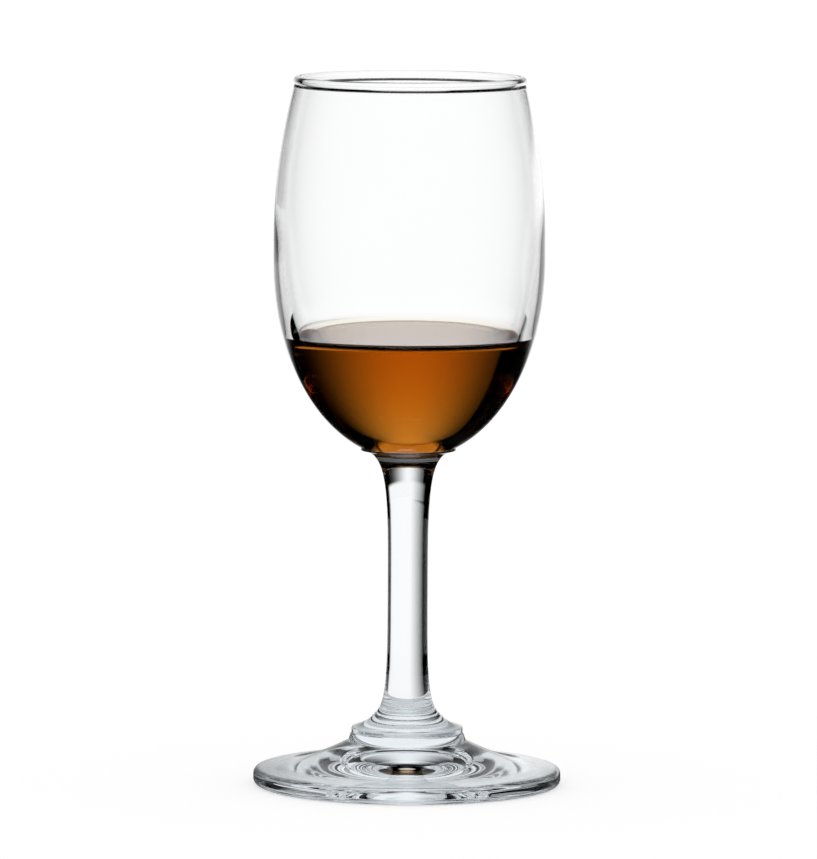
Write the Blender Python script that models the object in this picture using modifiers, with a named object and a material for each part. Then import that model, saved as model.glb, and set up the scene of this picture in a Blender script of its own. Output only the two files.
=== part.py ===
"""Stemmed liqueur glass: a turned bowl, stem, collar and foot, with the drink standing in the bowl.

Each piece is a profile of (radius, height) points that a Screw modifier turns about +Z. A profile starts and
ends on the axis and runs down its outer side. The glass stands on z = 0, and lengths are in metres.
"""
import math

import bpy
from mathutils import Vector
from mathutils.geometry import interpolate_bezier

MM = 0.001

# Foot: a narrow flat ring to stand on, a wide shallow hollow inside it and a top that sweeps up to the collar
FOOT_DIAMETER = 49.0 * MM
FOOT_HEIGHT = 6.9 * MM
FOOT_EDGE_HEIGHT = 2.7 * MM
FOOT_EDGE_ROUND = 1.0 * MM
HOLLOW_DIAMETER = 42.0 * MM
HOLLOW_DEPTH = 2.0 * MM

# Collar: a disc of two steps under a hollowed shoulder
COLLAR_DIAMETER = 18.7 * MM
COLLAR_LOWER_STEP = 1.15 * MM
COLLAR_UPPER_STEP = 0.95 * MM
COLLAR_SETBACK = 0.5 * MM
COLLAR_GROOVE = 0.12 * MM
COLLAR_EDGE_ROUND = 0.25 * MM
COLLAR_SHOULDER_HEIGHT = 1.85 * MM

# Stem: solid and waisted, flaring to the collar below and to a cup under the bowl above
STEM_LENGTH = 40.2 * MM
STEM_WAIST_DIAMETER = 6.4 * MM
STEM_WAIST_HEIGHT = 19.7 * MM
STEM_BASE_DIAMETER = 10.6 * MM
STEM_BASE_FLARE = 1.35 * MM
STEM_HEAD_DIAMETER = 15.0 * MM
STEM_HEAD_FLARE = 1.5 * MM

# Bowl: widest at an even band round the belly, drawn in to a beaded rim, with a wall that thickens downwards
BOWL_HEIGHT = 61.05 * MM
BOWL_DIAMETER = 43.1 * MM
BELLY_HEIGHT = 35.1 * MM
BELLY_BAND = 3.0 * MM
RIM_DIAMETER = 37.0 * MM
BEAD_DIAMETER = 1.4 * MM
BEAD_OVERHANG = 0.28 * MM
WALL_AT_RIM = 0.4 * MM
WALL_THICKENS_BELOW = 38.5 * MM
WALL_EVEN_BELOW = 18.5 * MM
WALL_BLEND = 3.0 * MM
WALL_GROWTH = 0.095

# Drink: its depth over the lowest point inside the bowl, and the lip that climbs the glass
DRINK_DEPTH = 16.7 * MM
MENISCUS_HEIGHT = 1.05 * MM
MENISCUS_REACH = 2.0 * MM

# Clearances: the pieces are fused in the real glass and the drink wets it, so both gaps are only nominal
FUSE_GAP = 0.3 * MM
DRINK_GAP = 0.3 * MM

# Fullness of the swept curves, as shares of the run that each curve covers
BOWL_SIDE_FULLNESS = 0.62
BOWL_BASE_FULLNESS = 0.51
STEM_UPPER_FULLNESS = 0.72
STEM_LOWER_FULLNESS = 0.65
FOOT_SWEEP = ((0.39, 0.65), (0.61, 0.90))
SHOULDER_SWEEP = ((0.20, 0.43), (0.50, 0.82))
MENISCUS_SWEEP = ((0.60, 0.0), (0.90, 0.45))

TURN_STEPS = 48

GLASS_COLOUR = (0.92, 0.95, 0.95, 1.0)
GLASS_IOR = 1.5
LIQUEUR_COLOUR = (0.42, 0.12, 0.006, 1.0)
LIQUEUR_IOR = 1.37
POLISHED = 0.02


def point(radius, height):
    return Vector((radius, height))


def arc(centre, radius, start, end, steps):
    """Round stretch about a centre, between two angles in degrees from +X."""
    angles = [math.radians(start + (end - start) * step / steps) for step in range(steps + 1)]
    return [centre + radius * point(math.cos(angle), math.sin(angle)) for angle in angles]


def curve(start, first_handle, last_handle, end, steps):
    return interpolate_bezier(start, first_handle, last_handle, end, steps + 1)


def sweep(start, end, shares, steps):
    """Curve whose two handles lie at shares of the way out and of the way up or down."""
    run = end - start
    handles = [start + point(run.x * share.x, run.y * share.y) for share in map(Vector, shares)]
    return curve(start, handles[0], handles[1], end, steps)


def moved_inwards(line, distance_at):
    """A line that falls to the axis, moved square to itself and inwards by a distance for each height."""
    moved = []
    for index, here in enumerate(line):
        before = line[max(index - 1, 0)]
        mirrored = point(-before.x, before.y)
        after = line[index + 1] if index + 1 < len(line) else mirrored
        along = (after - before).normalized()
        moved.append(here + distance_at(here.y) * point(along.y, -along.x))
    return moved


def cut_below(line, coordinate, value):
    """The rest of a falling line from the place where its radius (0) or height (1) drops to a value."""
    for index, (upper, lower) in enumerate(zip(line, line[1:])):
        if lower[coordinate] < value:
            share = (upper[coordinate] - value) / (upper[coordinate] - lower[coordinate])
            return [upper.lerp(lower, share)] + line[index + 1:]


def softened(depth):
    """A depth that eases in from nothing over the blend instead of starting at a corner."""
    return (depth + math.hypot(depth, WALL_BLEND)) / 2


def wall_at(height):
    """Thickness of the bowl's wall: thin near the rim, growing downwards, then even round the bottom."""
    grown = softened(WALL_THICKENS_BELOW - height) - softened(WALL_EVEN_BELOW - height)
    return WALL_AT_RIM + WALL_GROWTH * grown


def bead_centre():
    return point((RIM_DIAMETER - BEAD_DIAMETER) / 2, BOWL_HEIGHT - BEAD_DIAMETER / 2)


def bowl_outside():
    """Outer line of the bowl, from the neck under the bead down to its lowest point on the axis."""
    belly = point(BOWL_DIAMETER / 2, BELLY_HEIGHT)
    bead = bead_centre()
    drawn_in = belly.x - (RIM_DIAMETER / 2 - BEAD_OVERHANG)
    rise = bead.y - belly.y
    side_radius = (rise ** 2 + drawn_in ** 2) / (2 * drawn_in)
    neck_rise = rise - BEAD_DIAMETER / 2
    neck_angle = math.degrees(math.asin(neck_rise / side_radius))
    side = arc(belly - point(side_radius, 0), side_radius, neck_angle, 0, 6)
    band_end = belly - point(0, BELLY_BAND)
    side_handle = band_end - point(0, band_end.y * BOWL_SIDE_FULLNESS)
    base_handle = point(belly.x * BOWL_BASE_FULLNESS, 0)
    return side + curve(band_end, side_handle, base_handle, point(0, 0), 15)


def bowl_inside():
    return moved_inwards(bowl_outside(), wall_at)


def bowl_profile():
    bead = arc(bead_centre(), BEAD_DIAMETER / 2, 225, -45, 7)
    return bowl_inside()[::-1] + bead + bowl_outside()


def drink_profile():
    """The drink fills the bowl's inside to its level, and its edge climbs the glass a little."""
    side = moved_inwards(bowl_inside(), lambda height: DRINK_GAP)
    level = bowl_inside()[-1].y + DRINK_DEPTH
    side = cut_below(side, 1, level + MENISCUS_HEIGHT)
    edge = side[0]
    lip = sweep(point(edge.x - MENISCUS_REACH, level), edge, MENISCUS_SWEEP, 5)
    return [point(0, level)] + lip + side[1:]


def stem_profile():
    """A cup that fits the bowl's round bottom, two flares that meet at the waist, and a flat base."""
    bowl_line = [here + point(0, STEM_LENGTH + FUSE_GAP) for here in bowl_outside()]
    cup = cut_below(moved_inwards(bowl_line, lambda height: -FUSE_GAP), 0, STEM_HEAD_DIAMETER / 2)
    lip = cup[0]
    base = point(STEM_BASE_DIAMETER / 2, 0)
    waist = point(STEM_WAIST_DIAMETER / 2, STEM_WAIST_HEIGHT)
    head_handle = point(waist.x, lip.y - STEM_HEAD_FLARE)
    base_handle = point(waist.x, STEM_BASE_FLARE)
    above = waist + point(0, (lip.y - waist.y) * STEM_UPPER_FULLNESS)
    below = waist - point(0, waist.y * STEM_LOWER_FULLNESS)
    upper = curve(lip, head_handle, above, waist, 10)
    lower = curve(waist, below, base_handle, base, 9)
    return cup[::-1] + upper[1:] + lower[1:] + [point(0, 0)]


def collar_profile():
    """Flat top that takes the stem, hollowed shoulder, upper step, groove and flared lower step."""
    upper_radius = COLLAR_DIAMETER / 2 - COLLAR_SETBACK
    band_top = COLLAR_LOWER_STEP + COLLAR_UPPER_STEP
    top = point(STEM_BASE_DIAMETER / 2, band_top + COLLAR_SHOULDER_HEIGHT)
    edge_centre = point(upper_radius - COLLAR_EDGE_ROUND, band_top - COLLAR_EDGE_ROUND)
    edge = arc(edge_centre, COLLAR_EDGE_ROUND, 70, 0, 3)
    shoulder = sweep(top, edge[0], SHOULDER_SWEEP, 5)
    groove = [
        point(upper_radius, COLLAR_LOWER_STEP + COLLAR_GROOVE),
        point(upper_radius - COLLAR_GROOVE, COLLAR_LOWER_STEP),
        point(upper_radius + COLLAR_GROOVE, COLLAR_LOWER_STEP - COLLAR_GROOVE),
    ]
    return [point(0, top.y)] + shoulder + edge[1:] + groove + [point(COLLAR_DIAMETER / 2, 0), point(0, 0)]


def foot_profile():
    """Seat for the collar, swept top, rounded edge, flat ring to stand on and the hollow inside it."""
    seat = point(COLLAR_DIAMETER / 2, FOOT_HEIGHT)
    edge_x = FOOT_DIAMETER / 2 - FOOT_EDGE_ROUND
    upper_edge = arc(point(edge_x, FOOT_EDGE_HEIGHT - FOOT_EDGE_ROUND), FOOT_EDGE_ROUND, 80, 0, 4)
    lower_edge = arc(point(edge_x, FOOT_EDGE_ROUND), FOOT_EDGE_ROUND, 0, -90, 4)
    top = sweep(seat, upper_edge[0], FOOT_SWEEP, 9)
    half_width = HOLLOW_DIAMETER / 2
    dome_radius = (half_width ** 2 + HOLLOW_DEPTH ** 2) / (2 * HOLLOW_DEPTH)
    dome_angle = math.degrees(math.asin((dome_radius - HOLLOW_DEPTH) / dome_radius))
    dome = arc(point(0, HOLLOW_DEPTH - dome_radius), dome_radius, dome_angle, 90, 8)
    dome[-1].x = 0
    return [point(0, FOOT_HEIGHT)] + top + upper_edge[1:] + lower_edge + dome


def principled(name, colour, ior):
    """Polished clear material."""
    material = bpy.data.materials.new(name)
    material.use_nodes = True
    shader = material.node_tree.nodes["Principled BSDF"]
    shader.inputs["Base Color"].default_value = colour
    shader.inputs["Metallic"].default_value = 0.0
    shader.inputs["Roughness"].default_value = POLISHED
    shader.inputs["IOR"].default_value = ior
    shader.inputs["Transmission Weight"].default_value = 1.0
    return material


def turned(name, profile, material, base_height, stand, collection):
    """Object whose profile is turned about the axis, set at its height on the stand."""
    mesh = bpy.data.meshes.new(name)
    corners = [(here.x, 0, here.y) for here in profile]
    mesh.from_pydata(corners, [(index, index + 1) for index in range(len(corners) - 1)], [])
    mesh.materials.append(material)
    piece = bpy.data.objects.new(name, mesh)
    collection.objects.link(piece)
    piece.parent = stand
    piece.location.z = base_height
    screw = piece.modifiers.new("turn", "SCREW")
    screw.axis = "Z"
    screw.angle = math.tau
    screw.steps = TURN_STEPS
    screw.render_steps = TURN_STEPS
    screw.use_merge_vertices = True
    screw.merge_threshold = 0.001 * MM
    screw.use_smooth_shade = True
    return piece


def build():
    for old in list(bpy.data.objects):
        bpy.data.objects.remove(old)
    collection = bpy.data.collections.new("liqueur_glass")
    bpy.context.scene.collection.children.link(collection)
    stand = bpy.data.objects.new("table_point", None)
    collection.objects.link(stand)

    collar_base = FOOT_HEIGHT + FUSE_GAP
    collar_height = COLLAR_LOWER_STEP + COLLAR_UPPER_STEP + COLLAR_SHOULDER_HEIGHT
    stem_base = collar_base + collar_height + FUSE_GAP
    bowl_base = stem_base + STEM_LENGTH + FUSE_GAP
    pieces = [
        ("foot", foot_profile(), GLASS_COLOUR, GLASS_IOR, 0.0),
        ("collar", collar_profile(), GLASS_COLOUR, GLASS_IOR, collar_base),
        ("stem", stem_profile(), GLASS_COLOUR, GLASS_IOR, stem_base),
        ("bowl", bowl_profile(), GLASS_COLOUR, GLASS_IOR, bowl_base),
        ("liqueur", drink_profile(), LIQUEUR_COLOUR, LIQUEUR_IOR, bowl_base),
    ]
    for name, profile, colour, ior, base_height in pieces:
        turned(name, profile, principled(name, colour, ior), base_height, stand, collection)


build()
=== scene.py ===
# %% [markdown]
# # A stemmed liqueur glass, partly filled
# Clear glass shows very little of itself. What the eye reads is the bent picture of the set around it, so
# this lesson puts its work into three things: walls of true thickness, a drink that wets the glass, and a
# set with a white field behind the glass and dark cards beside it. The object is five pieces turned about
# one axis: the bowl, the stem, the collar, the foot and the liqueur.

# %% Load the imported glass
import math

import bpy
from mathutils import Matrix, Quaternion, Vector
from mathutils.geometry import interpolate_bezier


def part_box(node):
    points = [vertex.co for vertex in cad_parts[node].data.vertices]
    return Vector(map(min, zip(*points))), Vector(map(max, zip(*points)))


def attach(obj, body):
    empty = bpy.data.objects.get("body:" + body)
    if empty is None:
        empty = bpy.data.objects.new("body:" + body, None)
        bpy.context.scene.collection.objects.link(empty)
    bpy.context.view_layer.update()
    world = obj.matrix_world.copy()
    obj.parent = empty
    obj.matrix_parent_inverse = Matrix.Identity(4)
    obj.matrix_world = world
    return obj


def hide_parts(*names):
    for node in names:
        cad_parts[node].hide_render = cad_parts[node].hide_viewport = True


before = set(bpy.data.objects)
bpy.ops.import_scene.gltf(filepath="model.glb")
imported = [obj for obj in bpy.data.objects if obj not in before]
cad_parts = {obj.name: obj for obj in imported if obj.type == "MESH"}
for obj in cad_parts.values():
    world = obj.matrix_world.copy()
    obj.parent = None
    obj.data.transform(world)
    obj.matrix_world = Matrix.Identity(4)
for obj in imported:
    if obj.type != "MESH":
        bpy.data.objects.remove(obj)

MM = 0.001
scene = bpy.context.scene
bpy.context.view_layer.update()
print("nodes:", sorted(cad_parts))

# %% [markdown]
# ## Camera
# The rim is seen from about 3 degrees above and the foot from about 8 degrees. A longer or a shorter lens
# would change that difference, so it fixes the distance at about 1.3 m. The lens aims at the middle of
# the glass and needs no shift. The glass leans a quarter of a degree in the picture, and rolling the
# camera is the simplest way to give that lean back, since the glass itself stands upright on its foot.

# %% Camera at the picture's viewing angle
IMAGE_WIDTH = 817
FOCAL_PIXELS = 8100
CAMERA_DISTANCE = 1.281
CAMERA_HEIGHT = 0.1846
AIM_HEIGHT = 0.0568
CAMERA_ROLL = math.radians(0.28)
CLIP_START = 0.1

camera_data = bpy.data.cameras.new("camera")
camera_data.sensor_fit = "HORIZONTAL"
camera_data.lens = FOCAL_PIXELS / IMAGE_WIDTH * camera_data.sensor_width
camera_data.clip_start = CLIP_START
camera = bpy.data.objects.new("camera", camera_data)
scene.collection.objects.link(camera)
camera.location = (0, -CAMERA_DISTANCE, CAMERA_HEIGHT)
aim = Vector((0, 0, AIM_HEIGHT)) - camera.location
camera.rotation_mode = "QUATERNION"
camera.rotation_quaternion = aim.to_track_quat("-Z", "Y") @ Quaternion((0, 0, 1), CAMERA_ROLL)
scene.camera = camera
print("lens in mm:", round(camera_data.lens, 1))

# %% [markdown]
# ## Outlines
# Every piece of this glass is round, so each one is an outline of (radius, height) points that is turned
# about the axis. The outlines could be Bezier curves with a Screw modifier. Here they are worked out as
# points, because the inside of the bowl follows from its outside by a wall that changes with height, and
# because each stretch of an outline has to carry its own material: bare glass, wetted glass or fused
# joint.

# %% Helpers that draw an outline
RADIUS, HEIGHT = 0, 1


def point(radius, height):
    return Vector((radius, height))


def arc(centre, radius, start, end, steps):
    angles = [math.radians(start + (end - start) * step / steps) for step in range(steps + 1)]
    return [centre + radius * point(math.cos(angle), math.sin(angle)) for angle in angles]


def curve(start, first_handle, last_handle, end, steps):
    return interpolate_bezier(start, first_handle, last_handle, end, steps + 1)


def sweep(start, end, shares, steps):
    """Curve whose two handles lie at shares of the run outwards and of the run downwards."""
    run = end - start
    handles = [start + point(run.x * outwards, run.y * down) for outwards, down in shares]
    return curve(start, handles[0], handles[1], end, steps)


# %% Helpers that change an outline
def moved_inwards(line, distance_at):
    """The same falling line, moved square to itself towards the axis; it ends on the axis."""
    moved = []
    for index, here in enumerate(line):
        before = line[max(index - 1, 0)]
        after = line[index + 1] if index + 1 < len(line) else point(-before.x, before.y)
        along = (after - before).normalized()
        moved.append(here + distance_at(here.y) * point(along.y, -along.x))
    return moved


def parted(line, axis, value):
    """Two stretches of a falling line, above and below the place where it passes this radius or height."""
    for index, (upper, lower) in enumerate(zip(line, line[1:])):
        if lower[axis] < value:
            share = (upper[axis] - value) / (upper[axis] - lower[axis])
            cut = upper.lerp(lower, share)
            return line[:index + 1] + [cut], [cut] + line[index + 1:]


# %% [markdown]
# ## Turning
# A lathe gives a closed body in one pass. The points on the axis become single corners, so the middle of
# each face closes with triangles and no hole is left. Smooth shading hides the facets, and edges where
# two faces meet at more than 35 degrees, such as those of the collar's groove, stay crisp.

# %% Turn an outline into a closed body
TURN_STEPS = 144
CRISP_ANGLE = math.radians(35)
ON_AXIS = 1e-7


def turned_corners(outline):
    corners = []
    rings = []
    for here in outline:
        count = 1 if here.x < ON_AXIS else TURN_STEPS
        rings.append(range(len(corners), len(corners) + count))
        for step in range(count):
            turn = math.tau * step / TURN_STEPS
            corners.append((here.x * math.cos(turn), here.x * math.sin(turn), here.y))
    return corners, rings


def band_faces(upper, lower):
    for step in range(TURN_STEPS):
        following = (step + 1) % TURN_STEPS
        if len(upper) == 1:
            yield upper[0], lower[step], lower[following]
        elif len(lower) == 1:
            yield upper[step], lower[0], upper[following]
        else:
            yield upper[step], lower[step], lower[following], upper[following]


def turned(name, stretches):
    """Closed body from stretches of outline, each with its line and its material's place in the list."""
    outline = [stretches[0][0][0]]
    slots = []
    for line, slot in stretches:
        outline += line[1:]
        slots += [slot] * (len(line) - 1)
    corners, rings = turned_corners(outline)
    faces = []
    face_slots = []
    for upper, lower, slot in zip(rings, rings[1:], slots):
        band = list(band_faces(upper, lower))
        faces += band
        face_slots += [slot] * len(band)
    mesh = bpy.data.meshes.new(name)
    mesh.from_pydata(corners, [], faces)
    mesh.polygons.foreach_set("material_index", face_slots)
    mesh.shade_smooth()
    mesh.set_sharp_from_angle(angle=CRISP_ANGLE)
    piece = bpy.data.objects.new(name, mesh)
    scene.collection.objects.link(piece)
    print(name, "has", len(faces), "faces")
    return piece


# %% [markdown]
# ## Bowl
# The bowl is a tulip: widest a little above its middle, drawn in to the rim, and closed below in a round
# bottom. Its wall is 0.4 mm at the rim and grows to more than 2 mm under the drink, which is what makes
# the dark, soft edges of its lower half. A Solidify modifier gives an even wall, so the inside is drawn
# here as the outside moved in by a wall that follows the height, with softened corners where the growth
# starts and stops.

# %% Outside and inside of the bowl
bowl_low, bowl_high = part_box("bowl")
BELLY_RISE = 35.1 * MM
BELLY_BAND = 3.0 * MM
RIM_RADIUS = 18.5 * MM
BEAD_RADIUS = 0.7 * MM
BEAD_OVERHANG = 0.28 * MM
WALL_AT_RIM = 0.4 * MM
WALL_THICKENS_BELOW = 38.5 * MM
WALL_EVEN_BELOW = 18.5 * MM
WALL_BLEND = 3.0 * MM
WALL_GROWTH = 0.095
BOWL_SIDE_FULLNESS = 0.62
BOWL_BASE_FULLNESS = 0.51
SIDE_STEPS = 50
BASE_STEPS = 90


def softened(depth):
    return (depth + math.hypot(depth, WALL_BLEND)) / 2


def wall_at(height):
    climb = height - bowl_low.z
    thickened = softened(WALL_THICKENS_BELOW - climb) - softened(WALL_EVEN_BELOW - climb)
    return WALL_AT_RIM + WALL_GROWTH * thickened


bead = point(RIM_RADIUS - BEAD_RADIUS, bowl_high.z - BEAD_RADIUS)
belly = point(bowl_high.x, bowl_low.z + BELLY_RISE)
drawn_in = belly.x - (RIM_RADIUS - BEAD_OVERHANG)
rise = bead.y - belly.y
side_radius = (rise ** 2 + drawn_in ** 2) / (2 * drawn_in)
rim_angle = math.degrees(math.asin((rise - BEAD_RADIUS) / side_radius))
upper_side = arc(belly - point(side_radius, 0), side_radius, rim_angle, 0, SIDE_STEPS)
band_end = belly - point(0, BELLY_BAND)
side_handle = band_end - point(0, (BELLY_RISE - BELLY_BAND) * BOWL_SIDE_FULLNESS)
base_handle = point(belly.x * BOWL_BASE_FULLNESS, bowl_low.z)
bowl_base = curve(band_end, side_handle, base_handle, point(0, bowl_low.z), BASE_STEPS)
bowl_outside = upper_side + bowl_base
bowl_inside = moved_inwards(bowl_outside, wall_at)
print("wall at the bottom in mm:", round((bowl_inside[-1].y - bowl_low.z) / MM, 2))

# %% [markdown]
# ## Joints and the wetted wall
# The pieces of the real glass are fused, so no light is bent where they meet. Two faces in the same place
# make a ray tracer guess, so the joint faces stand 0.02 mm apart and later get a material that bends
# nothing. In the same way the inside of the bowl is parted at the line where the drink ends: below it the
# glass meets the drink and not air, and bends light much less.

# %% Make the bowl
BARE, JOINT, WETTED = 0, 1, 2
JOINT_GAP = 0.02 * MM
STEM_HEAD_ROUND = 0.15 * MM
CONTACT_HEIGHT = 72.0 * MM
BEAD_START, BEAD_END = 225, -45
BEAD_STEPS = 28

stem_low, stem_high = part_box("stem")
bowl_skin, bowl_seat = parted(bowl_outside, RADIUS, stem_high.x - STEM_HEAD_ROUND)
dry_wall, wetted_wall = parted(bowl_inside, HEIGHT, CONTACT_HEIGHT)
bead_outline = arc(bead, BEAD_RADIUS, BEAD_START, BEAD_END, BEAD_STEPS)
bowl = turned("bowl_glass", [
    (wetted_wall[::-1], WETTED),
    (dry_wall[::-1] + bead_outline + bowl_skin, BARE),
    (bowl_seat, JOINT),
])

# %% [markdown]
# ## Stem
# The stem is solid glass, drawn out of a gather: a slim waist, a long flare into the bowl's bottom, and a
# short flare where it meets the collar. Two curves that share an upright direction at the waist keep the
# outline free of a kink, which would show at once as a break in the bright line down the stem. Its head
# is hollowed to the bowl's own bottom and has a fine rounded rim.

# %% Make the stem
WAIST_RADIUS = 3.2 * MM
WAIST_RISE = 19.7 * MM
STEM_BASE_RADIUS = 5.3 * MM
STEM_BASE_FLARE = 1.35 * MM
STEM_HEAD_FLARE = 0.6 * MM
STEM_UPPER_FULLNESS = 0.72
STEM_LOWER_FULLNESS = 0.65
HEAD_ROUND_END = -60
HEAD_ROUND_STEPS = 16
UPPER_STEM_STEPS = 60
LOWER_STEM_STEPS = 50

collar_low, collar_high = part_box("collar")
stem_joint_height = (stem_low.z + collar_high.z) / 2
stem_seat = moved_inwards(bowl_seat, lambda height: -JOINT_GAP)
seat_slope = (stem_seat[0] - stem_seat[1]).normalized()
head_centre = stem_seat[0] + STEM_HEAD_ROUND * point(seat_slope.y, -seat_slope.x)
head_start = math.degrees(math.atan2(seat_slope.y, seat_slope.x)) + 90
head_round = arc(head_centre, STEM_HEAD_ROUND, head_start, HEAD_ROUND_END, HEAD_ROUND_STEPS)
head = head_round[-1]
waist = point(WAIST_RADIUS, stem_low.z + WAIST_RISE)
stem_base = point(STEM_BASE_RADIUS, stem_joint_height + JOINT_GAP / 2)
upper_stem = curve(head, point(waist.x, head.y - STEM_HEAD_FLARE),
                   waist + point(0, (head.y - waist.y) * STEM_UPPER_FULLNESS), waist, UPPER_STEM_STEPS)
lower_stem = curve(waist, waist - point(0, (waist.y - stem_base.y) * STEM_LOWER_FULLNESS),
                   point(waist.x, stem_base.y + STEM_BASE_FLARE), stem_base, LOWER_STEM_STEPS)
stem = turned("stem_glass", [
    (stem_seat[::-1], JOINT),
    (head_round + upper_stem[1:] + lower_stem[1:], BARE),
    ([stem_base, point(0, stem_base.y)], JOINT),
])

# %% [markdown]
# ## Collar
# The collar is a small disc of glass between stem and foot, a merese. It has two steps with a fine groove
# between them and a shoulder that sweeps up into the stem. The groove is real geometry and not a bump,
# because each of its edges throws a dark and a bright ring in clear glass.

# %% Make the collar
LOWER_STEP = 1.15 * MM
BOTH_STEPS = 2.1 * MM
STEP_SETBACK = 0.5 * MM
GROOVE = 0.12 * MM
STEP_ROUND = 0.25 * MM
STEP_EDGE_START = 70
STEP_EDGE_STEPS = 8
SHOULDER_SWEEP = ((0.20, 0.43), (0.50, 0.82))
SHOULDER_STEPS = 40

foot_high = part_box("foot")[1]
collar_joint_height = (collar_low.z + foot_high.z) / 2
upper_step_radius = collar_high.x - STEP_SETBACK
groove_height = collar_low.z + LOWER_STEP
step_centre = point(upper_step_radius - STEP_ROUND, collar_low.z + BOTH_STEPS - STEP_ROUND)
step_edge = arc(step_centre, STEP_ROUND, STEP_EDGE_START, 0, STEP_EDGE_STEPS)
collar_top = stem_base - point(0, JOINT_GAP)
shoulder = sweep(collar_top, step_edge[0], SHOULDER_SWEEP, SHOULDER_STEPS)
collar_base = point(collar_high.x, collar_joint_height + JOINT_GAP / 2)
steps_outline = [
    point(upper_step_radius, groove_height + GROOVE),
    point(upper_step_radius - GROOVE, groove_height),
    point(upper_step_radius + GROOVE, groove_height - GROOVE),
    collar_base,
]
collar = turned("collar_glass", [
    ([point(0, collar_top.y), collar_top], JOINT),
    (shoulder + step_edge[1:] + steps_outline, BARE),
    ([collar_base, point(0, collar_base.y)], JOINT),
])

# %% [markdown]
# ## Foot
# The foot is a round plate that swells towards the collar. Underneath it has a shallow hollow, so that
# the glass stands on a ring and does not rock. The hollow is a flat dome: an arc whose radius follows
# from its width and depth. Seen through the top of the foot it acts as a lens, and that is where the
# bright oval comes from.

# %% Make the foot
FOOT_EDGE_HEIGHT = 2.7 * MM
FOOT_EDGE_ROUND = 1.0 * MM
HOLLOW_RADIUS = 21.0 * MM
HOLLOW_DEPTH = 2.0 * MM
FOOT_SWEEP = ((0.39, 0.65), (0.61, 0.90))
UPPER_EDGE_START = 80
FOOT_EDGE_STEPS = 12
FOOT_TOP_STEPS = 50
DOME_STEPS = 40

edge_reach = foot_high.x - FOOT_EDGE_ROUND
upper_centre = point(edge_reach, FOOT_EDGE_HEIGHT - FOOT_EDGE_ROUND)
lower_centre = point(edge_reach, FOOT_EDGE_ROUND)
upper_edge = arc(upper_centre, FOOT_EDGE_ROUND, UPPER_EDGE_START, 0, FOOT_EDGE_STEPS)
lower_edge = arc(lower_centre, FOOT_EDGE_ROUND, 0, -90, FOOT_EDGE_STEPS)
dome_radius = (HOLLOW_RADIUS ** 2 + HOLLOW_DEPTH ** 2) / (2 * HOLLOW_DEPTH)
dome_start = math.degrees(math.asin((dome_radius - HOLLOW_DEPTH) / dome_radius))
dome = arc(point(0, HOLLOW_DEPTH - dome_radius), dome_radius, dome_start, 90, DOME_STEPS)
dome[-1].x = 0
foot_top = collar_base - point(0, JOINT_GAP)
foot_slope = sweep(foot_top, upper_edge[0], FOOT_SWEEP, FOOT_TOP_STEPS)
foot = turned("foot_glass", [
    ([point(0, foot_top.y), foot_top], JOINT),
    (foot_slope + upper_edge[1:] + lower_edge + dome, BARE),
])

# %% [markdown]
# ## Liqueur
# The drink fills the bottom of the bowl and climbs its wall in a meniscus. A flat disc on top would leave
# out the pale line round the drink, which is light bent by that climb. The rise has a known formula for a
# liquid against a plate, and it fits here because the bowl is much wider than the rise is high. The body
# stays 0.03 mm clear of the wall: the wetted wall already bends the light as glass against drink does.

# %% Make the liqueur
DRINK_GAP = 0.03 * MM
CAPILLARY_LENGTH = 0.9 * MM
WALL_CLIMB = math.radians(72)
MENISCUS_STEPS = 30
MENISCUS_FIRST_RISE = 0.02 * MM

drink_line = moved_inwards(bowl_inside, lambda height: DRINK_GAP)
drink_side = parted(drink_line, HEIGHT, CONTACT_HEIGHT)[1]
drink_edge = drink_side[0]
meniscus_height = 2 * CAPILLARY_LENGTH * math.sin(WALL_CLIMB / 2)
drink_level = drink_edge.y - meniscus_height


def meniscus_reach(height):
    """How far from an upright plate the surface still stands this high above its level."""
    share = height / CAPILLARY_LENGTH
    return CAPILLARY_LENGTH * (math.acosh(2 / share) - math.sqrt(4 - share ** 2))


meniscus = []
for step in range(MENISCUS_STEPS + 1):
    growth = (meniscus_height / MENISCUS_FIRST_RISE) ** (step / MENISCUS_STEPS)
    height = MENISCUS_FIRST_RISE * growth
    inset = meniscus_reach(height) - meniscus_reach(meniscus_height)
    meniscus.append(point(drink_edge.x - inset, drink_level + height))
liqueur = turned("liqueur_body", [([point(0, drink_level)] + meniscus + drink_side[1:], BARE)])
print("drink level in mm:", round(drink_level / MM, 2), "climbs", round(meniscus_height / MM, 2))

# %% [markdown]
# ## Where the drink meets air
# One body of drink needs two kinds of face: its top bends light as liquid against air, its sides bend
# nothing, because the wetted wall has done it already. Two materials would confuse the renderer about
# what the ray is inside of, so the faces carry marks instead, which the one material reads. A second mark
# sets the level part of the top apart from the meniscus.

# %% Mark the drink's faces
LEVEL_WITHIN = math.cos(math.radians(8))


def mark_faces(piece, mark, least_upwards):
    marks = [float(face.normal.z > least_upwards) for face in piece.data.polygons]
    piece.data.attributes.new(mark, "FLOAT", "FACE").data.foreach_set("value", marks)
    print(mark, "is on", int(sum(marks)), "faces of", piece.name)


mark_faces(liqueur, "open_surface", 0.0)
mark_faces(liqueur, "level_surface", LEVEL_WITHIN)

# %% [markdown]
# ## Node helpers
# The materials and the set are built from a few kinds of node. These helpers start a material, add a
# node, feed a socket with either a fixed value or another node's output, wrap the nodes that do the
# arithmetic, and tell where on its piece a point lies.

# %% Helpers for node trees
def new_material(name):
    material = bpy.data.materials.new(name)
    material.use_nodes = True
    tree = material.node_tree
    return material, tree, tree.nodes["Principled BSDF"]


def add_node(tree, kind, **settings):
    node = tree.nodes.new(kind)
    for setting, value in settings.items():
        setattr(node, setting, value)
    return node


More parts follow.
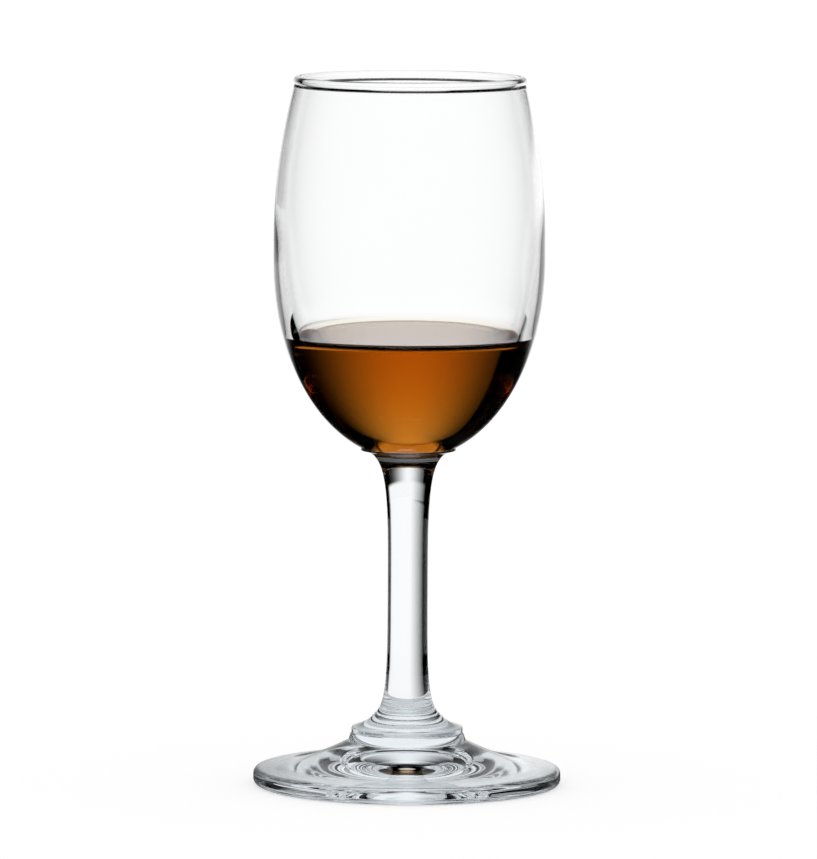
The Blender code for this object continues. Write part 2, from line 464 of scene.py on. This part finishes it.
def feed(tree, socket, value):
    if isinstance(value, bpy.types.NodeSocket):
        tree.links.new(value, socket)
    else:
        socket.default_value = value


def calculate(tree, operation, *values):
    node = add_node(tree, "ShaderNodeMath", operation=operation)
    for socket, value in zip(node.inputs, values):
        feed(tree, socket, value)
    return node.outputs["Value"]


def ramp(tree, value, start, end, first, last, shape="SMOOTHSTEP"):
    node = add_node(tree, "ShaderNodeMapRange", interpolation_type=shape)
    labels = ("Value", "From Min", "From Max", "To Min", "To Max")
    for label, amount in zip(labels, (value, start, end, first, last)):
        feed(tree, node.inputs[label], amount)
    return node.outputs["Result"]


def mixed_colour(tree, share, first, second):
    node = add_node(tree, "ShaderNodeMix", data_type="RGBA")
    feed(tree, node.inputs["Factor"], share)
    colours = [socket for socket in node.inputs if socket.type == "RGBA"]
    for socket, colour in zip(colours, (first, second)):
        feed(tree, socket, colour)
    return next(socket for socket in node.outputs if socket.type == "RGBA")


# %% Helpers for places on a piece
def place_on_piece(tree):
    return add_node(tree, "ShaderNodeTexCoord").outputs["Object"]


def split_up(tree, vector):
    node = add_node(tree, "ShaderNodeSeparateXYZ")
    feed(tree, node.inputs["Vector"], vector)
    return node.outputs


def distance_from_axis(tree, x, y):
    squares = [calculate(tree, "MULTIPLY", side, side) for side in (x, y)]
    return calculate(tree, "SQRT", calculate(tree, "ADD", *squares))


# %% [markdown]
# ## The skin of worked glass
# Glass that was worked hot is never quite even: a blown bowl keeps soft waves, a drawn stem keeps fine
# lines along its length, and pressed collar and foot keep faint rings from the mould. All three are one
# noise that is stretched differently around, along and across the axis, so they share one node group. The
# direction round the axis goes in as a point on a circle, which leaves no seam where an angle would start
# again.

# %% Node group for worked glass
SKIN_INPUTS = (
    ("Around", "NodeSocketFloat"),
    ("Along", "NodeSocketFloat"),
    ("Across", "NodeSocketFloat"),
    ("Clear Colour", "NodeSocketColor"),
    ("Cast Colour", "NodeSocketColor"),
    ("Polished", "NodeSocketFloat"),
    ("Hazy", "NodeSocketFloat"),
)
SKIN_OUTPUTS = (
    ("Colour", "NodeSocketColor"),
    ("Roughness", "NodeSocketFloat"),
    ("Waves", "NodeSocketFloat"),
)
HAZE_SPAN = (0.5, 0.8)


def empty_group(name, inputs, outputs):
    group = bpy.data.node_groups.new(name, "ShaderNodeTree")
    for direction, sockets in (("INPUT", inputs), ("OUTPUT", outputs)):
        for label, kind in sockets:
            group.interface.new_socket(label, in_out=direction, socket_type=kind)
    given = add_node(group, "NodeGroupInput").outputs
    made = add_node(group, "NodeGroupOutput").inputs
    return group, given, made


def worked_glass_group():
    group, given, made = empty_group("worked_glass", SKIN_INPUTS, SKIN_OUTPUTS)
    x, y, z = split_up(group, place_on_piece(group))
    turn = calculate(group, "ARCTAN2", y, x)
    reach = distance_from_axis(group, x, y)
    spot = add_node(group, "ShaderNodeCombineXYZ")
    for socket, wave in zip(spot.inputs, ("COSINE", "SINE")):
        feed(group, socket, calculate(group, "MULTIPLY", calculate(group, wave, turn), given["Around"]))
    feed(group, spot.inputs["Z"], calculate(group, "MULTIPLY", z, given["Along"]))
    noise = add_node(group, "ShaderNodeTexNoise", noise_dimensions="4D")
    feed(group, noise.inputs["Vector"], spot.outputs["Vector"])
    feed(group, noise.inputs["W"], calculate(group, "MULTIPLY", reach, given["Across"]))
    feed(group, noise.inputs["Scale"], 1.0)
    waves = noise.outputs["Fac"]
    feed(group, made["Colour"], mixed_colour(group, waves, given["Clear Colour"], given["Cast Colour"]))
    feed(group, made["Roughness"], ramp(group, waves, *HAZE_SPAN, given["Polished"], given["Hazy"]))
    feed(group, made["Waves"], waves)
    return group


worked_glass = worked_glass_group()
print("node group:", worked_glass.name, [item.name for item in worked_glass.interface.items_tree])

# %% [markdown]
# ## Glass
# The shader is Principled with full transmission and the index of soda-lime glass. Its tint goes in as
# Base Color, which colours what passes through a surface: nearly none in the thin bowl, a little
# blue-grey in the solid stem, more in the thick collar and foot. The waves reach the light through a Bump
# node, because they are at most a few thousandths of a millimetre deep, far too fine for a mesh. The
# glint is turned down: in a white set full mirror-like reflections would lay a veil over the drink. Fused
# joints bend nothing. The seat between bowl and stem carries painted shade, a dark tint, because a clear
# one lets the drink's amber run down the stem into the foot.

# %% Glass shader
GLINT = (0.15, 0.15, 0.15, 1)
POLISHED = 0.0
HAZY = 0.004


def glass_material(name, index, stretch, tints, wave_depth):
    material, tree, shader = new_material(name)
    shader.inputs["IOR"].default_value = index
    shader.inputs["Specular Tint"].default_value = GLINT
    shader.inputs["Transmission Weight"].default_value = 1.0
    skin = add_node(tree, "ShaderNodeGroup", node_tree=worked_glass)
    clear, cast = tints
    values = {**stretch, "Clear Colour": clear, "Cast Colour": cast, "Polished": POLISHED, "Hazy": HAZY}
    for label, value in values.items():
        skin.inputs[label].default_value = value
    bump = add_node(tree, "ShaderNodeBump")
    bump.inputs["Distance"].default_value = wave_depth
    feed(tree, bump.inputs["Height"], skin.outputs["Waves"])
    feed(tree, shader.inputs["Base Color"], skin.outputs["Colour"])
    feed(tree, shader.inputs["Roughness"], skin.outputs["Roughness"])
    feed(tree, shader.inputs["Normal"], bump.outputs["Normal"])
    print("material:", name, "with index", round(index, 3))
    return material


# %% Glass of each piece
GLASS_INDEX = 1.5
DRINK_INDEX = 1.37
NO_INDEX_STEP = 1.0
CLEAR = (1.0, 1.0, 1.0, 1)
SEAT_PAINTED_SHADE = (0.05, 0.05, 0.05, 1)
BOWL_TINTS = CLEAR, (0.985, 0.99, 0.99, 1)
STEM_TINTS = (0.945, 0.96, 0.97, 1), (0.925, 0.945, 0.955, 1)
FOOT_TINTS = (0.85, 0.905, 0.94, 1), (0.82, 0.875, 0.91, 1)
BLOWN = {"Around": 2.5, "Along": 70.0, "Across": 40.0}
DRAWN = {"Around": 9.0, "Along": 12.0, "Across": 60.0}
PRESSED = {"Around": 0.8, "Along": 500.0, "Across": 700.0}
BLOWN_DEPTH = 0.004 * MM
DRAWN_DEPTH = 0.0004 * MM
PRESSED_DEPTH = 0.0002 * MM
NO_DEPTH = 0.0

blown_bowl_glass = glass_material("blown_bowl_glass", GLASS_INDEX, BLOWN, BOWL_TINTS, BLOWN_DEPTH)
wetted_glass = glass_material("wetted_glass", GLASS_INDEX / DRINK_INDEX, BLOWN, BOWL_TINTS, NO_DEPTH)
drawn_stem_glass = glass_material("drawn_stem_glass", GLASS_INDEX, DRAWN, STEM_TINTS, DRAWN_DEPTH)
pressed_collar_glass = glass_material("pressed_collar_glass", GLASS_INDEX, PRESSED, FOOT_TINTS,
                                      PRESSED_DEPTH)
pressed_foot_glass = glass_material("pressed_foot_glass", GLASS_INDEX, PRESSED, FOOT_TINTS, PRESSED_DEPTH)
fused_joint = glass_material("fused_joint", NO_INDEX_STEP, BLOWN, (CLEAR, CLEAR), NO_DEPTH)
# The seat's material is painted shade: a dark tint that holds back the light passing through the fused
# seat.
fused_seat_painted_shade = glass_material("fused_seat_painted_shade", NO_INDEX_STEP, BLOWN, (SEAT_PAINTED_SHADE, SEAT_PAINTED_SHADE), NO_DEPTH)

# %% [markdown]
# ## Wear under the foot
# A glass that has stood on tables and trays has a finely scuffed ring underneath, and the rest of it
# stays bright. Only this one material has it, so it is built in the material: a mask of the lowest tenth
# of a millimetre, broken up by a fine noise, raises the roughness there.

# %% Scuffs on the standing ring
SCUFF_HEIGHT = 0.12 * MM
SCUFF_SCALE = 2500.0
SCUFF_ROUGHNESS = 0.35


def add_scuffs(material):
    tree = material.node_tree
    shader = tree.nodes["Principled BSDF"]
    place = place_on_piece(tree)
    low = ramp(tree, split_up(tree, place)["Z"], 0.0, SCUFF_HEIGHT, 1.0, 0.0)
    marks = add_node(tree, "ShaderNodeTexNoise")
    feed(tree, marks.inputs["Vector"], place)
    feed(tree, marks.inputs["Scale"], SCUFF_SCALE)
    worn = calculate(tree, "MULTIPLY", low, marks.outputs["Fac"])
    scuffed = calculate(tree, "MULTIPLY", worn, SCUFF_ROUGHNESS)
    polished = shader.inputs["Roughness"].links[0].from_socket
    feed(tree, shader.inputs["Roughness"], calculate(tree, "MAXIMUM", polished, scuffed))


add_scuffs(pressed_foot_glass)
print("scuffs reach up in mm:", SCUFF_HEIGHT / MM)

# %% [markdown]
# ## Painted shade line under the bead
# Below the bead the melted rim runs into the wall in a tight hollow curve. It throws light aside, so a dark
# line follows the rim. The curve is a few tenths of a millimetre high, too fine to bend light well in
# this mesh, so the line is painted shade: a dark tint in the bowl's own material, masked by height.

# %% Painted dark line under the bead
RIM_PAINTED_SHADE = (0.03, 0.03, 0.03, 1)
RIM_LINE_DEPTH = 1.45 * MM
RIM_LINE_REACH = (0.14 * MM, 0.28 * MM)


def add_painted_rim_shade(material):
    tree = material.node_tree
    shader = tree.nodes["Principled BSDF"]
    height = split_up(tree, place_on_piece(tree))["Z"]
    offset = calculate(tree, "SUBTRACT", height, bowl_high.z - RIM_LINE_DEPTH)
    line = ramp(tree, calculate(tree, "ABSOLUTE", offset), *RIM_LINE_REACH, 1.0, 0.0)
    clear = shader.inputs["Base Color"].links[0].from_socket
    # The dark line is painted shade, mixed into the bowl's Base Color.
    feed(tree, shader.inputs["Base Color"], mixed_colour(tree, line, clear, RIM_PAINTED_SHADE))


add_painted_rim_shade(blown_bowl_glass)
print("rim line below the rim in mm:", RIM_LINE_DEPTH / MM)

# %% [markdown]
# ## Amber liqueur
# The drink's colour is depth: thin at its edge it is pale, thick in the middle it is brown. Only
# absorption in the volume does that, so the sides stay almost colourless and a Volume Absorption node
# takes the blue and much of the green out on the way. The level part of the top is the exception: seen
# from above it is a dim mirror of the set, so light that goes in there gets painted shade, a dark tint,
# and a thin coat gives the shine of the surface. The tight curve at the foot of the meniscus throws light
# aside, and painted shade, a dark tint on the drink's uppermost side, stands for that line. Faint
# streaks stand for the sugar that never quite mixes.

# %% Masks on the drink
EDGE_LINE_DEPTHS = (1.15 * MM, 0.75 * MM)


def face_mark(tree, name):
    return add_node(tree, "ShaderNodeAttribute", attribute_name=name).outputs["Fac"]


def light_goes_in(tree):
    leaving = add_node(tree, "ShaderNodeNewGeometry").outputs["Backfacing"]
    return calculate(tree, "SUBTRACT", 1.0, leaving)


def painted_edge_shade(tree, place, side):
    """1 on the uppermost part of the drink's side, where the painted shade goes."""
    heights = [CONTACT_HEIGHT - depth for depth in EDGE_LINE_DEPTHS]
    high = ramp(tree, split_up(tree, place)["Z"], *heights, 0.0, 1.0)
    return calculate(tree, "MULTIPLY", high, side)


# %% Liqueur material
ABSORBED = (0.87, 0.61, 0.03, 1)
ABSORPTION = 188.0
SYRUP_STREAK = (0.99, 0.975, 0.94, 1)
STREAK_SCALE = 160.0
# Painted shade for the dark line at the foot of the meniscus.
EDGE_PAINTED_SHADE = (0.02, 0.015, 0.01, 1)
# Painted shade on light that goes in through the level top of the drink.
LEVEL_PAINTED_SHADE = (0.1, 0.06, 0.04, 1)
LEVEL_SHINE = 0.35


def liqueur_material():
    material, tree, shader = new_material("amber_liqueur")
    shader.inputs["Roughness"].default_value = 0.0
    shader.inputs["Coat Roughness"].default_value = 0.0
    shader.inputs["Transmission Weight"].default_value = 1.0
    open_top = face_mark(tree, "open_surface")
    index = ramp(tree, open_top, 0.0, 1.0, NO_INDEX_STEP, DRINK_INDEX, "LINEAR")
    feed(tree, shader.inputs["IOR"], index)
    place = place_on_piece(tree)
    streaks = add_node(tree, "ShaderNodeTexNoise")
    feed(tree, streaks.inputs["Vector"], place)
    feed(tree, streaks.inputs["Scale"], STREAK_SCALE)
    body = mixed_colour(tree, streaks.outputs["Fac"], CLEAR, SYRUP_STREAK)
    goes_in = light_goes_in(tree)
    edge = painted_edge_shade(tree, place, calculate(tree, "SUBTRACT", 1.0, open_top))
    edged = mixed_colour(tree, calculate(tree, "MULTIPLY", edge, goes_in), body, EDGE_PAINTED_SHADE)
    level = face_mark(tree, "level_surface")
    painted_level_shade_mask = calculate(tree, "MULTIPLY", level, goes_in)
    feed(tree, shader.inputs["Base Color"], mixed_colour(tree, painted_level_shade_mask, edged, LEVEL_PAINTED_SHADE))
    feed(tree, shader.inputs["Coat Weight"], calculate(tree, "MULTIPLY", level, LEVEL_SHINE))
    depth = add_node(tree, "ShaderNodeVolumeAbsorption")
    depth.inputs["Color"].default_value = ABSORBED
    depth.inputs["Density"].default_value = ABSORPTION
    feed(tree, tree.nodes["Material Output"].inputs["Volume"], depth.outputs["Volume"])
    return material


amber_liqueur = liqueur_material()
print("material:", amber_liqueur.name)

# %% [markdown]
# ## Dressing the pieces
# Each turned piece takes the place of its plain node and rides on the one body of this part. The order of
# the materials follows the stretches of the outlines: bare, joint, wetted.

# %% Put the materials on
DRESSED = (
    (bowl, "bowl", "clear_glass", (blown_bowl_glass, fused_seat_painted_shade, wetted_glass)),
    (stem, "stem", "clear_glass", (drawn_stem_glass, fused_joint)),
    (collar, "collar", "clear_glass", (pressed_collar_glass, fused_joint)),
    (foot, "foot", "clear_glass", (pressed_foot_glass, fused_joint)),
    (liqueur, "liqueur", "amber_liqueur", (amber_liqueur,)),
)
for piece, node, slot, materials in DRESSED:
    for material in materials:
        piece.data.materials.append(material)
    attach(piece, "root")
    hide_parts(node)
    print(piece.name, "stands for", node)

# %% [markdown]
# ## White field
# The glass stands in a white studio. The world is white, with strength 1, for the camera and for what is
# seen in or through the glass, and a softer fill for everything else, so the white is never extra light
# on the object. High up the field ends in a dark ceiling, which the hollow of the foot picks up as dark
# lines. Straight above hangs a white lamp: the bowl's bottom mirrors it through the drink and glows amber
# down to the stem.

# %% World
WHITE = (1, 1, 1, 1)
FILL = 0.6
# Where the ceiling and the lamp start, in degrees above the horizon.
DARK_CEILING = (42, 52)
OVERHEAD_LAMP = (66, 72)


def seen_directly(tree):
    """1 for the camera's own view and for what it sees in or through glass."""
    path = add_node(tree, "ShaderNodeLightPath").outputs
    in_glass = calculate(tree, "MAXIMUM", path["Is Glossy Ray"], path["Is Transmission Ray"])
    return calculate(tree, "MAXIMUM", in_glass, path["Is Camera Ray"])


world = bpy.data.worlds.new("white_field")
scene.world = world
world.use_nodes = True
tree = world.node_tree
direction = add_node(tree, "ShaderNodeTexCoord").outputs["Generated"]
climb = calculate(tree, "DEGREES", calculate(tree, "ARCSINE", split_up(tree, direction)["Z"]))
field = ramp(tree, climb, *DARK_CEILING, 1.0, 0.0)
lamp = ramp(tree, climb, *OVERHEAD_LAMP, 0.0, 1.0)
overhead = calculate(tree, "MAXIMUM", field, lamp)
strength = ramp(tree, seen_directly(tree), 0.0, 1.0, FILL, overhead, "LINEAR")
background = tree.nodes["Background"]
background.inputs["Color"].default_value = WHITE
feed(tree, background.inputs["Strength"], strength)
print("world:", world.name)

# %% [markdown]
# ## Floor
# The floor is pale and matt. Part of its white is its own glow, for the same rays that see the world
# white, so the fill light only has to add the rest and the shadow at the foot stays faint. It lies a hair
# under the foot, so that the two never share a plane.

# %% Floor
FLOOR_HALF = 3.0
SQUARE = ((-1, -1), (1, -1), (1, 1), (-1, 1))
FLOOR_DROP = 0.05 * MM
FLOOR_COLOUR = (0.8, 0.8, 0.8, 1)
FLOOR_GLOW = 0.54

floor_mesh = bpy.data.meshes.new("floor")
floor_corners = [(x * FLOOR_HALF, y * FLOOR_HALF, -FLOOR_DROP) for x, y in SQUARE]
floor_mesh.from_pydata(floor_corners, [], [(0, 1, 2, 3)])
floor = bpy.data.objects.new("floor", floor_mesh)
scene.collection.objects.link(floor)

floor_paint, floor_tree, floor_shader = new_material("floor_paint")
floor_shader.inputs["Base Color"].default_value = FLOOR_COLOUR
floor_shader.inputs["Roughness"].default_value = 1.0
floor_shader.inputs["Specular IOR Level"].default_value = 0.0
floor_shader.inputs["Emission Color"].default_value = WHITE
own_glow = calculate(floor_tree, "MULTIPLY", seen_directly(floor_tree), FLOOR_GLOW)
feed(floor_tree, floor_shader.inputs["Emission Strength"], own_glow)
floor_mesh.materials.append(floor_paint)
print("floor drop in mm:", FLOOR_DROP / MM)

# %% [markdown]
# ## Dark cards
# A glass photographer sets black cards just outside the picture, because clear glass on white has no edge
# without them. Here they are a ring of card round the set, a sheet on the floor and a low wall close to
# the glass, all open behind it. They are seen only in and through the glass. When the glass is looked at
# from another side, the cards go round with the camera, as they would if the glass were turned on a
# turntable: an empty with a Locked Track constraint carries them.

# %% Turntable that keeps the cards behind the glass
turntable = bpy.data.objects.new("turntable", None)
scene.collection.objects.link(turntable)
follow = turntable.constraints.new("LOCKED_TRACK")
follow.target = camera
follow.track_axis = "TRACK_NEGATIVE_Y"
follow.lock_axis = "LOCK_Z"
print("turntable follows:", follow.target.name)

# %% Card that is black, pale or open from place to place
CARD_STEPS = 90


def card_place(tree):
    """A point's degrees round from straight behind the glass, its height and its distance from the axis."""
    x, y, z = split_up(tree, place_on_piece(tree))
    angle = calculate(tree, "DEGREES", calculate(tree, "ARCTAN2", x, y))
    return angle, z, distance_from_axis(tree, x, y)


def card_material(name, opening, glow):
    material, tree, plain_shader = new_material(name)
    tree.nodes.remove(plain_shader)
    paper = add_node(tree, "ShaderNodeEmission")
    paper.inputs["Strength"].default_value = glow
    open_air = add_node(tree, "ShaderNodeBsdfTransparent")
    card = add_node(tree, "ShaderNodeMixShader")
    feed(tree, card.inputs["Fac"], opening(tree, *card_place(tree)))
    feed(tree, card.inputs[1], paper.outputs["Emission"])
    feed(tree, card.inputs[2], open_air.outputs["BSDF"])
    feed(tree, tree.nodes["Material Output"].inputs["Surface"], card.outputs["Shader"])
    return material


def card_ring(name, opening, inner, inner_height, outer, outer_height, glow=0.0):
    corners = []
    for step in range(CARD_STEPS):
        turn = math.tau * step / CARD_STEPS
        corners.append((inner * math.sin(turn), inner * math.cos(turn), inner_height))
        corners.append((outer * math.sin(turn), outer * math.cos(turn), outer_height))
    total = len(corners)
    faces = [(first, first + 1, (first + 3) % total, (first + 2) % total) for first in range(0, total, 2)]
    mesh = bpy.data.meshes.new(name)
    mesh.from_pydata(corners, [], faces)
    mesh.materials.append(card_material(name, opening, glow))
    card = bpy.data.objects.new(name, mesh)
    scene.collection.objects.link(card)
    card.parent = turntable
    card.visible_camera = False
    card.visible_diffuse = False
    card.visible_shadow = False
    print("card:", name)
    return card


# %% [markdown]
# ## What is seen through the glass
# A solid stem and a filled bowl are lenses that turn the set round, left for right. The ring of card is
# open in a soft band behind the glass, which gives the drink its bright middle and dark sides, and the
# sheet on the floor is open as far to the left as to the right, so the bowl's two edges look alike. The
# low wall, the sheet inside it and the foot of the ring close slowly towards the left. The bowl looks
# over the wall and the stem looks through it, so the stem alone gets a soft dark right side. Two pale
# cards at the sides light the flanks of the foot and are hidden from reflections.

# %% How open each card is
# Spans of angle are degrees round from straight behind the glass, and left is negative.
FIELD_SPREAD = 12
FIELD_LEFT = (-28.5, -26)
NEAR_FADE = (-36, -4)
FAR_FADE = (-36, -6)
CLOSED_BEYOND = (40, 52)
SIDE_CARD = (66, 80)
# The ring's foot lies between these spans, in degrees of climb from the glass.
FADE_ABOVE = (1.0, 2.0)
RING_FOOT_END = (7, 10)
CARD_RADIUS = 0.8


def bell(tree, angle, spread):
    share = calculate(tree, "DIVIDE", angle, spread)
    squared = calculate(tree, "MULTIPLY", share, share)
    return calculate(tree, "EXPONENT", calculate(tree, "MULTIPLY", squared, -0.5))


def closing(tree, angle):
    return ramp(tree, calculate(tree, "ABSOLUTE", angle), *CLOSED_BEYOND, 1.0, 0.0)


def faded(tree, angle, fade):
    left = ramp(tree, angle, *fade, 0.0, 1.0, "LINEAR")
    return calculate(tree, "MULTIPLY", left, closing(tree, angle))


def near_opening(tree, angle, height, reach):
    return faded(tree, angle, NEAR_FADE)


def side_opening(tree, angle, height, reach):
    return ramp(tree, calculate(tree, "ABSOLUTE", angle), *SIDE_CARD, 1.0, 0.0)


def sheet_opening(tree, angle, height, reach):
    return closing(tree, angle)


def ring_opening(tree, angle, height, reach):
    climb = calculate(tree, "DEGREES", calculate(tree, "ARCTAN2", height, CARD_RADIUS))
    low = ramp(tree, climb, *FADE_ABOVE, closing(tree, angle), faded(tree, angle, FAR_FADE))
    left = ramp(tree, angle, *FIELD_LEFT, 0.0, 1.0)
    high = calculate(tree, "MULTIPLY", left, bell(tree, angle, FIELD_SPREAD))
    return ramp(tree, climb, *RING_FOOT_END, low, high)


# %% Put up the ring, the sheets, the low wall and the side cards
CARD_HEIGHT = 1.8
SHEET_INNER = 30.0 * MM
SHEET_LIFT = 0.03 * MM
NEAR_RADIUS = 85.0 * MM
NEAR_HEIGHT = 43.7 * MM
SIDE_RADIUS = 80.0 * MM
SIDE_GLOW = 0.9

sheet_height = SHEET_LIFT - FLOOR_DROP
card_ring("dark_ring", ring_opening, CARD_RADIUS, 0.0, CARD_RADIUS, CARD_HEIGHT)
card_ring("dark_sheet", sheet_opening, NEAR_RADIUS, sheet_height, CARD_RADIUS, sheet_height)
card_ring("near_sheet", near_opening, SHEET_INNER, sheet_height, NEAR_RADIUS, sheet_height)
card_ring("near_wall", near_opening, NEAR_RADIUS, sheet_height, NEAR_RADIUS, NEAR_HEIGHT)
side_cards = card_ring("side_cards", side_opening, SIDE_RADIUS, sheet_height, SIDE_RADIUS, NEAR_HEIGHT,
                       SIDE_GLOW)
side_cards.visible_glossy = False

# %% [markdown]
# ## What the outside of the glass reflects
# At its edges glass is a mirror, and there it would show the white set and lose its outline. Two more
# cards are hidden from light that passes through, so they darken only those reflections: a sheet on the
# floor, black close to the glass, which draws the lower edges firmly, and a small card round the neck,
# which keeps the bright foot out of the bowl's underside.

# %% Hoods for the reflections
HOOD_RADIUS = 0.5
HOOD_SPREAD = 8
HOOD_FADE = (0.25, 0.5)
HOOD_INNER = 0.5 * MM
HOOD_LIFT = 0.04 * MM
NECK_HOOD_INNER = 4.2 * MM
NECK_HOOD_OUTER = 16.0 * MM
NECK_HOOD_HEIGHT = 47.0 * MM


def hood_sheet_opening(tree, angle, height, reach):
    far = ramp(tree, reach, *HOOD_FADE, 0.0, 1.0)
    return calculate(tree, "MAXIMUM", bell(tree, angle, HOOD_SPREAD), far)


def closed_card(tree, angle, height, reach):
    return 0.0


hood_height = HOOD_LIFT - FLOOR_DROP
hood_sheet = card_ring("hood_sheet", hood_sheet_opening, HOOD_INNER, hood_height, HOOD_RADIUS, hood_height)
neck_hood = card_ring("neck_hood", closed_card, NECK_HOOD_INNER, NECK_HOOD_HEIGHT, NECK_HOOD_OUTER,
                      NECK_HOOD_HEIGHT)
for hood in (hood_sheet, neck_hood):
    hood.visible_transmission = False

# %% [markdown]
# ## Light paths
# A ray through a filled glass crosses a dozen surfaces and may be mirrored many times inside the stem and
# the foot. With the usual limits it would end there as black, so the limits go up. The colours stay as
# they are written with the Standard view.

# %% Bounces and view
MOST_BOUNCES = 32
MOST_MIRRORINGS = 16

scene.view_settings.view_transform = "Standard"
scene.cycles.max_bounces = MOST_BOUNCES
scene.cycles.transmission_bounces = MOST_BOUNCES
scene.cycles.glossy_bounces = MOST_MIRRORINGS
scene.cycles.transparent_max_bounces = MOST_BOUNCES
print("bounces:", scene.cycles.max_bounces)
